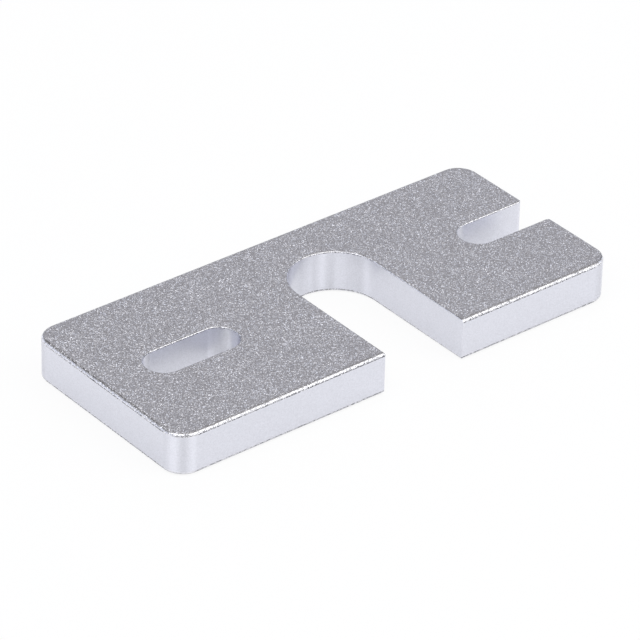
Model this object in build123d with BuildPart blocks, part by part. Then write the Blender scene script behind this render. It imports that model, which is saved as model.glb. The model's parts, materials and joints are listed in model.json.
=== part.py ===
from build123d import *
import os

# Hot end mounting plate: one flat machined aluminium plate. A hot end's grooved
# neck slides into the U-shaped cut in its front edge, and two screws hold the
# plate to a carriage through the slots at its ends.
# X runs along the plate, Y from the front edge to the back, Z up through it.
# The origin is the middle of the underside. All sizes are in millimetres.

# Plate
plate_length = 70.0
plate_width = 30.0
plate_thickness = 6.0
corner_radius = 3.0

# Broken edges: the underside's, the outside's at the top, and the openings' at the top
underside_chamfer = 0.25
outside_chamfer = 0.3
opening_chamfer = 0.1

# Cut that takes the hot end's neck, open at the front edge
neck_diameter = 12.0
neck_clearance = 0.3
neck_x = 3.5
neck_y = 2.3

# Fixing screws, one each side of the neck
screw_diameter = 5.0
screw_clearance = 0.15
screw_spacing = 50.0
screw_y = 0.0
closed_slot_travel = 8.5
open_slot_travel = 3.5
open_slot_mouth_radius = 0.8

# Worked out from the sizes above
neck_cut_radius = neck_diameter / 2 + neck_clearance
slot_width = screw_diameter + 2 * screw_clearance
right_edge = plate_length / 2
front_edge = -plate_width / 2
closed_slot_x = neck_x - screw_spacing / 2
open_screw_x = neck_x + screw_spacing / 2
open_slot_end_x = open_screw_x - open_slot_travel
open_slot_length = right_edge - open_slot_end_x
neck_cut_depth = neck_y - front_edge

# The blank, with its four upright corners rounded and its top edge broken all round
with BuildPart() as blank:
    with BuildSketch():
        RectangleRounded(plate_length, plate_width, corner_radius)
    extrude(amount=plate_thickness)
    chamfer(blank.edges().group_by(Axis.Z)[-1], length=outside_chamfer)

with BuildPart() as mounting_plate:
    with BuildSketch():
        RectangleRounded(plate_length, plate_width, corner_radius)
    extrude(amount=plate_thickness)

    # Neck cut: straight walls from the front edge to a half-round seat
    with BuildSketch():
        with Locations((neck_x, neck_y)):
            Circle(neck_cut_radius)
        with Locations((neck_x, front_edge)):
            Rectangle(2 * neck_cut_radius, neck_cut_depth, align=(Align.CENTER, Align.MIN))
    extrude(amount=plate_thickness, mode=Mode.SUBTRACT)

    # Left slot, closed at both ends, in line with the plate
    with BuildSketch():
        with Locations((closed_slot_x, screw_y)):
            SlotCenterToCenter(closed_slot_travel, slot_width)
    extrude(amount=plate_thickness, mode=Mode.SUBTRACT)

    # Right slot, open through the right edge, so the plate swings off one loosened screw
    with BuildSketch():
        with Locations((open_slot_end_x, screw_y)):
            Circle(slot_width / 2)
            Rectangle(open_slot_length, slot_width, align=(Align.MIN, Align.CENTER))
    extrude(amount=plate_thickness, mode=Mode.SUBTRACT)

    # Lead-in at the open slot's mouth: its two upright corners are rounded
    right_wall_edges = mounting_plate.edges().filter_by(Axis.Z).group_by(Axis.X)[-1]
    mouth_edges = right_wall_edges.sort_by(lambda edge: abs(edge.center().Y - screw_y))[:2]
    fillet(mouth_edges, radius=open_slot_mouth_radius)

    # The openings' top edges are only just broken; the blank adds the wider break round the outside
    chamfer(mounting_plate.edges().group_by(Axis.Z)[0], length=underside_chamfer)
    chamfer(mounting_plate.edges().group_by(Axis.Z)[-1], length=opening_chamfer)
    add(blank.part, mode=Mode.INTERSECT)

mounting_plate.part.label = "mounting_plate"

os.makedirs("parts", exist_ok=True)
export_step(mounting_plate.part, "parts/mounting_plate.step")
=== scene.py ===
import json
import math

import bmesh
import bpy
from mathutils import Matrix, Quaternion, Vector


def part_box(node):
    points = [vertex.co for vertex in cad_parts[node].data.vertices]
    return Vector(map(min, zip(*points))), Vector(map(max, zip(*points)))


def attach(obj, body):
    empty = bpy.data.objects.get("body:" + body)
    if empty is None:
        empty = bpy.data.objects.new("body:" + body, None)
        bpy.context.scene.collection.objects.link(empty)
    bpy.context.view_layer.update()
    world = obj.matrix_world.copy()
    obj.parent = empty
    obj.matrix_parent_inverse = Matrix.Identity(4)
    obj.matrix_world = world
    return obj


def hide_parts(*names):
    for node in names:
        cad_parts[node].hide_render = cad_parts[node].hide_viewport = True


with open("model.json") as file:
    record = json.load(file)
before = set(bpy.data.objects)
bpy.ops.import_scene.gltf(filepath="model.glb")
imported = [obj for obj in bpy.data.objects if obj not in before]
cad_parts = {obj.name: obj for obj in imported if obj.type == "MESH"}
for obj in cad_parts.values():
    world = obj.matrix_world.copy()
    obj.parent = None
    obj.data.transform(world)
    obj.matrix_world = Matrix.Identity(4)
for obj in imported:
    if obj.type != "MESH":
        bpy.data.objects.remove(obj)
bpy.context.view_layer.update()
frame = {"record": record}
print("frame loaded")

mm = 0.001                # one millimetre in Blender's metres
nodeName = "mounting_plate"
scene = bpy.context.scene


def linearColour(hexText):
    # "#A7A6AC" to the linear red, green, blue and alpha that a node takes
    values = [int(hexText[place:place + 2], 16) / 255 for place in (1, 3, 5)]
    return tuple(v / 12.92 if v <= 0.04045 else ((v + 0.055) / 1.055) ** 2.4 for v in values) + (1.0,)


def addNode(tree, kind, settings=None, links=None):
    # settings go to the node's inputs or, failing that, to its own options; links name the inputs they feed
    node = tree.nodes.new(kind)
    for name, value in (settings or {}).items():
        if isinstance(name, int) or name in node.inputs:
            node.inputs[name].default_value = value
        else:
            setattr(node, name, value)
    for name, source in (links or {}).items():
        tree.links.new(source, node.inputs[name])
    return node


def newMaterial(name):
    # A material with its node tree emptied; it hands back the tree too
    material = bpy.data.materials.new(name)
    material.use_nodes = True
    material.node_tree.nodes.clear()
    return material, material.node_tree


def selectOnly(piece):
    bpy.ops.object.select_all(action="DESELECT")
    piece.select_set(True)
    bpy.context.view_layer.objects.active = piece


def startEditing(piece):
    selectOnly(piece)
    bpy.ops.object.mode_set(mode="EDIT")


def stopEditing():
    bpy.ops.object.mode_set(mode="OBJECT")


def pick(piece, kind, wanted):
    # Selects the edges or faces that wanted() says yes to, and nothing else
    bpy.ops.mesh.select_mode(type=kind)
    bpy.ops.mesh.select_all(action="DESELECT")
    mesh = bmesh.from_edit_mesh(piece.data)
    mesh.normal_update()
    for part in mesh.edges if kind == "EDGE" else mesh.faces:
        if wanted(part):
            part.select_set(True)
    mesh.select_flush_mode()
    bmesh.update_edit_mesh(piece.data)


def bevelPicked(radius, steps, **options):
    bpy.ops.mesh.bevel(offset=radius, offset_type="OFFSET", segments=steps, profile=0.5, **options)


def mergeClose():
    # In edit mode: joins points that lie on one another
    bpy.ops.mesh.select_all(action="SELECT")
    bpy.ops.mesh.remove_doubles(threshold=plateShape["merge"])


def isWall(face):
    return abs(face.normal.z) < 0.1    # within about 6 degrees of upright


def isFlat(face):
    return abs(face.normal.z) > 0.9    # within about 26 degrees of level


def isUpright(edge):
    a, b = (vert.co for vert in edge.verts)
    return (a.xy - b.xy).length < plateShape["merge"]


def middleOf(edge):
    return (edge.verts[0].co + edge.verts[1].co) / 2


# The plate: a rounded blank with its three openings cut out and the edges of both faces rounded over
plateShape = {
    "cornerRadius": 3.0 * mm,      # the four upright corners of the blank
    "cornerSteps": 16,             # facets in each of them
    "roundSteps": 32,              # facets in each quarter of a slot's round end
    "mouthRadius": 0.8 * mm,       # lead-in at the open slot's mouth
    "mouthSteps": 8,
    "lipRadius": 0.18 * mm,        # upright edges of the neck cut's mouth
    "lipSteps": 4,
    "openingRound": 0.2 * mm,      # top edges of the three openings
    "undersideRound": 0.4 * mm,    # every edge of the underside
    "outsideRound": 0.5 * mm,      # the outside's top and bottom edges
    "roundFacets": 6,              # facets across each of these
    "overrun": 4.0 * mm,           # how far a cutter reaches past the plate
    "waist": 1.0 * mm,             # half the height of the core's middle, before it starts to narrow
    "lid": 0.5 * mm,               # how far the core then goes on, inwards and out past the faces
    "near": 0.01 * mm,             # an edge this near a place is taken to be there
    "merge": 0.001 * mm,           # points this near are one point
    "smoothBelow": 40,             # degrees: the shading runs on over edges flatter than this
}


def addRoundedBlock(low, high, radius, steps):
    # A block between two corners, its upright edges rounded: half its width makes a round end
    middle, size = (low + high) / 2, high - low
    bpy.ops.object.select_all(action="DESELECT")
    bpy.ops.mesh.primitive_cube_add(size=1, location=middle, scale=size)
    block = bpy.context.object
    bpy.ops.object.transform_apply(location=True, rotation=True, scale=True)
    startEditing(block)
    pick(block, "EDGE", isUpright)
    bevelPicked(radius - plateShape["merge"] / 10, steps)    # a hair less, so that two bevels can meet
    mergeClose()
    bpy.ops.mesh.normals_make_consistent(inside=False)
    stopEditing()
    return block


def combine(piece, other, operation):
    # Cuts the other solid away from the piece, or keeps only what the two share
    selectOnly(piece)
    change = piece.modifiers.new("change", "BOOLEAN")
    change.operation = operation
    change.solver = "EXACT"
    change.object = other
    change.use_self = operation == "INTERSECT"
    bpy.ops.object.modifier_apply(modifier=change.name)
    bpy.data.objects.remove(other)


def addCore(low, high):
    # As large as the plate outside and wider round the waist, rounding off towards its top and underside
    bend, reach = plateShape["outsideRound"], plateShape["overrun"]
    middle = (low.z + high.z) / 2
    waistLow = Vector((low.x - reach, low.y - reach, middle - plateShape["waist"]))
    waistHigh = Vector((high.x + reach, high.y + reach, middle + plateShape["waist"]))
    radius = plateShape["cornerRadius"] + reach
    core = addRoundedBlock(waistLow, waistHigh, radius, plateShape["cornerSteps"])

    # Its profile: how far inside the plate's outline and how far under the face, from the waist up
    profile = [(-reach, high.z - waistHigh.z)]
    for step in range(plateShape["roundFacets"] + 1):
        turn = math.radians(90) * step / plateShape["roundFacets"]
        inward, downward = bend * (1 - math.cos(turn)), bend * (1 - math.sin(turn))
        profile.append((inward - plateShape["merge"], downward - plateShape["merge"]))
    profile.append((bend + plateShape["lid"], -plateShape["lid"]))
    startEditing(core)
    pick(core, "FACE", isFlat)
    for (outer, deeper), (inner, higher) in zip(profile, profile[1:]):
        bpy.ops.mesh.inset(thickness=inner - outer, depth=deeper - higher)
    stopEditing()
    return core


def buildPlate():
    low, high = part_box(nodeName)
    past, near = plateShape["overrun"], plateShape["near"]
    mounts = {mount["name"]: mount for mount in frame["record"]["mounts"]}
    places = {name: Vector(mount["pos_m"]) for name, mount in mounts.items()}
    neck, outerEnd = places["neck_seat"], places["closed_slot_outer_end"]
    innerEnd, openEnd = places["closed_slot_inner_end"], places["open_slot_inner_end"]
    neckRadius = mounts["neck_seat"]["dims"]["r_mm"] * mm
    slotRadius = mounts["open_slot_inner_end"]["dims"]["r_mm"] * mm

    plate = addRoundedBlock(low, high, plateShape["cornerRadius"], plateShape["cornerSteps"])
    plate.name = "plate"
    plate.data.name = "plate"

    # The openings, each from one round end to another: two of them run out past an edge
    openings = (
        (Vector((neck.x, low.y - past, 0)), neck, neckRadius),
        (outerEnd, innerEnd, slotRadius),
        (openEnd, Vector((high.x + past, openEnd.y, 0)), slotRadius),
    )
    for start, end, radius in openings:
        cutterLow = Vector((start.x - radius, start.y - radius, low.z - past))
        cutterHigh = Vector((end.x + radius, end.y + radius, high.z + past))
        cutter = addRoundedBlock(cutterLow, cutterHigh, radius, plateShape["roundSteps"])
        combine(plate, cutter, "DIFFERENCE")

    startEditing(plate)
    mergeClose()
    bpy.ops.mesh.normals_make_consistent(inside=False)

    # Lead-in of the open slot
    def atOpenMouth(edge):
        middle = middleOf(edge)
        nearSlot = abs(middle.y - openEnd.y) < slotRadius + near
        return isUpright(edge) and middle.x > high.x - near and nearSlot
    pick(plate, "EDGE", atOpenMouth)
    bevelPicked(plateShape["mouthRadius"], plateShape["mouthSteps"])

    # The edges of both faces are rounded: the openings' least, the underside's more, the outside's most
    def atRim(edge):
        faces = edge.link_faces
        return len(faces) == 2 and any(map(isWall, faces)) and any(map(isFlat, faces))
    rims = ((plateShape["openingRound"], high.z), (plateShape["undersideRound"], low.z))
    for radius, level in rims:
        pick(plate, "EDGE", lambda edge: atRim(edge) and abs(middleOf(edge).z - level) < near)
        bevelPicked(radius, plateShape["roundFacets"], clamp_overlap=False)
    stopEditing()
    combine(plate, addCore(low, high), "INTERSECT")

    # The two upright lips where the neck cut meets the front edge
    def atNeckLip(edge):
        middle = middleOf(edge)
        nearCut = abs(abs(middle.x - neck.x) - neckRadius) < near
        return isUpright(edge) and middle.y < low.y + near and nearCut
    startEditing(plate)
    mergeClose()
    pick(plate, "EDGE", atNeckLip)
    bevelPicked(plateShape["lipRadius"], plateShape["lipSteps"])
    mergeClose()
    bpy.ops.mesh.dissolve_degenerate(threshold=plateShape["merge"])
    stopEditing()
    return plate


plate = buildPlate()
print("plate modelled:", len(plate.data.polygons), "faces")


def markFinishes(piece):
    # Slot 0 is the blasted faces with their rounded edges, slot 1 the walls. The attribute "rim" is 0
    # on a blasted face and rises round its edge, as that leans over, to 1 where the wall starts
    low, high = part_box(nodeName)
    rim = piece.data.attributes.new("rim", "FLOAT", "POINT")
    for point in piece.data.vertices:
        flat = min(high.z - point.co.z, point.co.z - low.z) < plateShape["merge"]
        rim.data[point.index].value = 0 if flat else 1 - abs(point.normal.z)
    for face in piece.data.polygons:
        face.material_index = 1 if isWall(face) else 0


blastedFinish = {
    "facet": 0.1 * mm,        # real bead marks are about 0.03 mm, too fine to show here
    "few": 6.0,               # the higher, the fewer facets are bright
    "dull": "#888687",        # most facets of the skin
    "bright": "#FFFEFD",      # the few that sparkle
    "dullRoughness": 0.32,
    "brightRoughness": 0.15,
    "dullTilt": 0.46,         # how far a facet may lean
    "brightTilt": 0.5,
    "cut": "#E9E9EE",         # the edge's bright metal
    "cutRoughness": 0.22,
    "cutTilt": 0.55,
    "cutFrom": 0.12,          # on the rim attribute, where the edge's brightness starts
    "cutTo": 0.3,             # and where it is full
    "cutRagged": 0.12,        # how unevenly the facets meet it
    "paintedShade": "#3A3A3E",        # painted shade: a thin dark line where the edge meets the wall, from and to as above
    "paintedShadeFrom": 0.78,
    "paintedShadeTo": 0.86,
    "paintedShadeRagged": 0.45,       # so uneven that the line is broken
}


def makeBlasted():
    # Bead-blasted aluminium under clear anodising: a mid grey skin of small facets, a few of which sparkle,
    # worn bright along its edges, with a thin broken line of painted shade where the edge meets the wall
    look = blastedFinish
    material, tree = newMaterial("beadBlastedAluminium")
    place = addNode(tree, "ShaderNodeTexCoord").outputs["Object"]
    facets = addNode(tree, "ShaderNodeTexVoronoi", {"Scale": 1 / look["facet"]}, {"Vector": place})
    chance = addNode(tree, "ShaderNodeSeparateColor", {}, {"Color": facets.outputs["Color"]}).outputs
    sparkle = addNode(tree, "ShaderNodeMath", {"operation": "POWER", 1: look["few"]}, {0: chance["Red"]})

    # How far a facet belongs to the worn edge, and to the painted shade line at its foot
    rim = addNode(tree, "ShaderNodeAttribute", {"attribute_name": "rim"})

    def shareOf(name, unevenness):
        spread = look[name + "Ragged"] / 2
        uneven = addNode(tree, "ShaderNodeMapRange", {"To Min": -spread, "To Max": spread},
                         {"Value": unevenness})
        meets = addNode(tree, "ShaderNodeMath", {"operation": "ADD"},
                        {0: rim.outputs["Fac"], 1: uneven.outputs[0]})
        return addNode(tree, "ShaderNodeMapRange",
                       {"From Min": look[name + "From"], "From Max": look[name + "To"]},
                       {"Value": meets.outputs[0]}).outputs[0]
    worn = shareOf("cut", chance["Blue"])
    paintedShade = shareOf("paintedShade", chance["Green"])

    # Colour, roughness and lean of each facet, first for the skin and then for the worn edge over it
    dull, bright = linearColour(look["dull"]), linearColour(look["bright"])
    colour = addNode(tree, "ShaderNodeMix", {"data_type": "RGBA", 6: dull, 7: bright},
                     {0: sparkle.outputs[0]})
    # The second pass lays the painted shade, a dark colour, over the rim where the edge meets the wall
    for name, share in (("cut", worn), ("paintedShade", paintedShade)):
        colour = addNode(tree, "ShaderNodeMix", {"data_type": "RGBA", 7: linearColour(look[name])},
                         {0: share, 6: colour.outputs[2]})
    amounts = {}
    for name in ("Roughness", "Tilt"):
        onSkin = addNode(tree, "ShaderNodeMapRange",
                         {"To Min": look["dull" + name], "To Max": look["bright" + name]},
                         {"Value": sparkle.outputs[0]})
        amounts[name] = addNode(tree, "ShaderNodeMapRange", {"To Max": look["cut" + name]},
                                {"Value": worn, "To Min": onSkin.outputs[0]}).outputs[0]

    # The facet's own normal: the surface's, pushed over by the facet's colour taken as a direction
    centred = addNode(tree, "ShaderNodeVectorMath", {"operation": "SUBTRACT", 1: (0.5, 0.5, 0.5)},
                      {0: facets.outputs["Color"]})
    lean = addNode(tree, "ShaderNodeVectorMath", {"operation": "SCALE"},
                   {0: centred.outputs[0], "Scale": amounts["Tilt"]})
    faceOut = addNode(tree, "ShaderNodeNewGeometry").outputs["Normal"]
    leaning = addNode(tree, "ShaderNodeVectorMath", {"operation": "ADD"}, {0: faceOut, 1: lean.outputs[0]})
    normal = addNode(tree, "ShaderNodeVectorMath", {"operation": "NORMALIZE"}, {0: leaning.outputs[0]})
    metal = addNode(tree, "ShaderNodeBsdfPrincipled", {"Metallic": 1.0},
                    {"Base Color": colour.outputs[2], "Roughness": amounts["Roughness"],
                     "Normal": normal.outputs[0]})
    addNode(tree, "ShaderNodeOutputMaterial", {}, {"Surface": metal.outputs[0]})
    return material


milledFinish = {
    "colour": "#E2E3EB",
    "roughness": 0.28,
    "bands": 0.1,             # how much brighter or duller the tool's bands are on the rounds
    "bandWidth": 1.4 * mm,
    "bandShift": 119.5 * mm,  # moves them along the rounds
    "bandStretch": 0.03,      # how much less they change up the wall than along it
    "bandLow": 0.3,           # the part of the noise's range that they are drawn from
    "bandHigh": 0.7,
    "fullRound": 0.15,        # across the plate times along it: a wall that faces this much both ways
    "grain": 0.1 * mm,        # real grain is about 0.03 mm, too fine to show here
    "grainDepth": 0.12,       # how far the grain's brightness goes from lowest to highest
}


def makeMilled():
    # Milled aluminium walls: satin, faintly grained and almost white, because they mirror the pale floor.
    # The cutter leaves upright bands where it goes round a corner
    look = milledFinish
    material, tree = newMaterial("milledAluminium")
    places = addNode(tree, "ShaderNodeTexCoord").outputs
    upright = addNode(tree, "ShaderNodeMapping",
                      {"Location": (look["bandShift"], 0, 0), "Scale": (1, 1, look["bandStretch"])},
                      {"Vector": places["Object"]})
    bands = addNode(tree, "ShaderNodeTexNoise", {"Scale": 1 / look["bandWidth"], "Detail": 0.0},
                    {"Vector": upright.outputs[0]})
    wave = addNode(tree, "ShaderNodeMapRange",
                   {"From Min": look["bandLow"], "From Max": look["bandHigh"], "To Min": -1.0},
                   {"Value": bands.outputs["Fac"]})

    # A wall that faces neither along nor across the plate is a round
    sides = addNode(tree, "ShaderNodeSeparateXYZ", {}, {"Vector": places["Normal"]}).outputs
    across = addNode(tree, "ShaderNodeMath", {"operation": "MULTIPLY"}, {0: sides["X"], 1: sides["Y"]})
    turning = addNode(tree, "ShaderNodeMath", {"operation": "ABSOLUTE"}, {0: across.outputs[0]})
    strength = addNode(tree, "ShaderNodeMapRange",
                       {"From Max": look["fullRound"], "To Max": look["bands"]},
                       {"Value": turning.outputs[0]})

    # Grain, which the bands are laid over
    specks = addNode(tree, "ShaderNodeTexVoronoi", {"Scale": 1 / look["grain"]},
                     {"Vector": places["Object"]})
    chance = addNode(tree, "ShaderNodeSeparateColor", {}, {"Color": specks.outputs["Color"]}).outputs
    grain = addNode(tree, "ShaderNodeMapRange",
                    {"To Min": 1 - look["grainDepth"] / 2, "To Max": 1 + look["grainDepth"] / 2},
                    {"Value": chance["Red"]})
    shade = addNode(tree, "ShaderNodeMath", {"operation": "MULTIPLY_ADD"},
                    {0: wave.outputs[0], 1: strength.outputs[0], 2: grain.outputs[0]})
    pale = linearColour(look["colour"])
    colour = addNode(tree, "ShaderNodeMix",
                     {"data_type": "RGBA", "blend_type": "MULTIPLY", 0: 1.0, 6: pale},
                     {7: shade.outputs[0]})
    metal = addNode(tree, "ShaderNodeBsdfPrincipled", {"Metallic": 1.0, "Roughness": look["roughness"]},
                    {"Base Color": colour.outputs[2]})
    addNode(tree, "ShaderNodeOutputMaterial", {}, {"Surface": metal.outputs[0]})
    return material


def smoothRounds(piece):
    # The rounds are shaded smooth, and the flat faces and walls next to them stay flat
    selectOnly(piece)
    bpy.ops.object.shade_smooth_by_angle(angle=math.radians(plateShape["smoothBelow"]))
    weigh = piece.modifiers.new("flatFaces", "WEIGHTED_NORMAL")
    weigh.keep_sharp = True
    weigh.weight = 100                 # the large faces count for most
    bpy.ops.object.modifier_apply(modifier=weigh.name)


markFinishes(plate)
for made in (makeBlasted(), makeMilled()):
    plate.data.materials.append(made)
smoothRounds(plate)
print("plate finished")

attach(plate, "root")
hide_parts(nodeName)


# The studio: a white paper floor in a soft room. Its shares run from one value to another: of how
# far a direction points back for "back", and of how far it points up for "low"
studio = {
    "floorSize": 6.0,        # metres
    "floorDrop": 0.02 * mm,  # below the underside, so that the two never share a plane
    "floorColour": "#F4F4F4",
    "seenGlow": 0.9,         # share of the floor's white that needs no light, to the camera
    "mirroredGlow": 0.5,     # the same in the metal
    "lowBack": "#EAEFFF",    # low down behind the plate, where the backdrop sweeps up
    "elsewhere": "#909092",  # overhead and on the camera's side, where the room is dimmer between the lamps
    "backFrom": -0.5,
    "backTo": 0.3,
    "lowFrom": 0.4,
    "lowTo": 0.15,
    "worldStrength": 1.25,
}


def layFloor():
    bpy.ops.object.select_all(action="DESELECT")
    bpy.ops.mesh.primitive_plane_add(size=studio["floorSize"], location=(0, 0, -studio["floorDrop"]))
    floor = bpy.context.object
    floor.name = "floor"

    # Part of the floor's white needs no light: most of it to the camera, some of it in the metal
    material, tree = newMaterial("paperFloor")
    path = addNode(tree, "ShaderNodeLightPath").outputs
    mirrored = addNode(tree, "ShaderNodeMath", {"operation": "MAXIMUM"},
                       {0: path["Is Glossy Ray"], 1: path["Is Transmission Ray"]})
    inMetal = addNode(tree, "ShaderNodeMath", {"operation": "MULTIPLY", 1: studio["mirroredGlow"]},
                      {0: mirrored.outputs[0]})
    seen = addNode(tree, "ShaderNodeMath", {"operation": "MULTIPLY", 1: studio["seenGlow"]},
                   {0: path["Is Camera Ray"]})
    share = addNode(tree, "ShaderNodeMath", {"operation": "MAXIMUM"},
                    {0: inMetal.outputs[0], 1: seen.outputs[0]})
    paper = addNode(tree, "ShaderNodeBsdfDiffuse", {"Color": linearColour(studio["floorColour"])})
    glow = addNode(tree, "ShaderNodeEmission", {"Color": linearColour("#FFFFFF"), "Strength": 1.0})
    both = addNode(tree, "ShaderNodeMixShader", {},
                   {0: share.outputs[0], 1: paper.outputs[0], 2: glow.outputs[0]})
    addNode(tree, "ShaderNodeOutputMaterial", {}, {"Surface": both.outputs[0]})
    floor.data.materials.append(material)


def fillRoom():
    # Pale low down at the back, dimmer in front and overhead
    world = bpy.data.worlds.new("softRoom")
    scene.world = world
    world.use_nodes = True
    tree = world.node_tree
    tree.nodes.clear()
    direction = addNode(tree, "ShaderNodeTexCoord").outputs["Generated"]
    towards = addNode(tree, "ShaderNodeSeparateXYZ", {}, {"Vector": direction}).outputs
    shares = {}
    for name, axis in (("back", "Y"), ("low", "Z")):
        shares[name] = addNode(tree, "ShaderNodeMapRange",
                               {"interpolation_type": "SMOOTHSTEP",
                                "From Min": studio[name + "From"], "From Max": studio[name + "To"]},
                               {"Value": towards[axis]}).outputs[0]
    lowAtBack = addNode(tree, "ShaderNodeMath", {"operation": "MULTIPLY"},
                        {0: shares["back"], 1: shares["low"]})
    dim, pale = linearColour(studio["elsewhere"]), linearColour(studio["lowBack"])
    room = addNode(tree, "ShaderNodeMix", {"data_type": "RGBA", 6: dim, 7: pale},
                   {0: lowAtBack.outputs[0]})
    air = addNode(tree, "ShaderNodeBackground", {"Strength": studio["worldStrength"]},
                  {"Color": room.outputs[2]})
    addNode(tree, "ShaderNodeOutputWorld", {}, {"Surface": air.outputs[0]})


# Each lamp: azimuth and elevation in degrees, side in metres, and how bright its face is
lamps = {
    "keyBox": {"turn": 35, "rise": 45, "side": 0.9, "bright": 1.6, "colour": "#FFFEFB"},
    "lowBox": {"turn": 40, "rise": 12, "side": 0.6, "bright": 1.2, "colour": "#FFFFFF"},
    "sideBox": {"turn": -75, "rise": 60, "side": 1.1, "bright": 1.4, "colour": "#FBFCFF"},
    "topBox": {"turn": 0, "rise": 88, "side": 1.1, "bright": 0.45, "colour": "#FEFEFF"},
    "backBox": {"turn": 140, "rise": 40, "side": 0.9, "bright": 0.95, "colour": "#F5F6FF"},
}
lampDistance = 1.1           # metres from the plate's middle


def directionOf(azimuth, elevation):
    # Azimuth is 0 in front of the plate and 90 to its right
    turn, rise = math.radians(azimuth), math.radians(elevation)
    return Vector((math.sin(turn) * math.cos(rise), -math.cos(turn) * math.cos(rise), math.sin(rise)))


def addLamp(name, lamp):
    back = directionOf(lamp["turn"], lamp["rise"])
    turn = (-back).to_track_quat("-Z", "Y").to_euler()
    bpy.ops.object.light_add(type="AREA", location=back * lampDistance, rotation=turn)
    light = bpy.context.object
    light.name = name
    light.data.shape = "SQUARE"
    light.data.size = lamp["side"]
    light.data.energy = math.pi * lamp["bright"] * lamp["side"] ** 2    # a bright of 1 is white in a mirror
    light.data.color = linearColour(lamp["colour"])[:3]
    light.visible_camera = False


cameraView = {
    "aim": Vector((-0.8757, 0.1964, 2.3578)) * mm,   # the point that the picture's middle looks at
    "azimuth": -39.631,      # degrees, counted as for the lamps
    "elevation": 32.383,
    "roll": 1.556,
    "distance": 570.42 * mm,
    "lens": 253.8,           # mm, on a sensor of the width below
    "sensor": 36,
    "nearest": 10 * mm,
}


def addCamera():
    back = directionOf(cameraView["azimuth"], cameraView["elevation"])
    turn = (-back).to_track_quat("-Z", "Y") @ Quaternion((0, 0, 1), math.radians(cameraView["roll"]))
    place = cameraView["aim"] + back * cameraView["distance"]
    bpy.ops.object.camera_add(location=place, rotation=turn.to_euler())
    camera = bpy.context.object
    camera.data.lens = cameraView["lens"]
    camera.data.sensor_width = cameraView["sensor"]
    camera.data.clip_start = cameraView["nearest"]
    scene.camera = camera


layFloor()
fillRoom()
for lampName, lampValues in lamps.items():
    addLamp(lampName, lampValues)
addCamera()
scene.view_settings.view_transform = "Standard"
print("studio lit")
